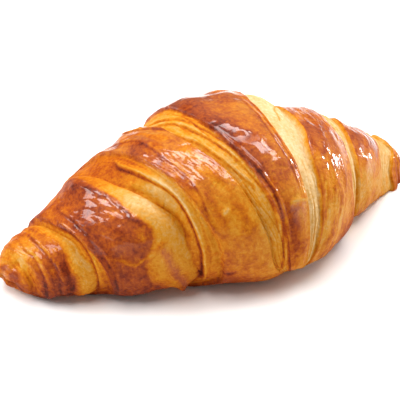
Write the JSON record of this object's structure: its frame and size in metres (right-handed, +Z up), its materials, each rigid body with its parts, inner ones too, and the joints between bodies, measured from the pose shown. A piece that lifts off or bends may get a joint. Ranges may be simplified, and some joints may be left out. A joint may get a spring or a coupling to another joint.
{
  "type": "croissant",
  "caption": "Baked butter croissant: a crescent of rolled, layered dough with a glazed, flaking crust, widest in the middle and tapering to blunt tips, to set on a tray, plate or table.",
  "frame": {"origin": "on the surface that the croissant lies on, under the centre of its box", "axes": "+X along the croissant from its left tip to its right tip, seen from the front; -Y is the front, where the point of the rolled dough ends; +Z up"},
  "size_m": [0.164, 0.0774, 0.0557],
  "materials": {
    "baked_crust": "baked dough: golden to red-brown, half-gloss where it was brushed with egg, and pale and dull where the layers opened"
  },
  "bodies": {
    "root": {"croissant": "baked_crust"}
  },
  "joints": []
}
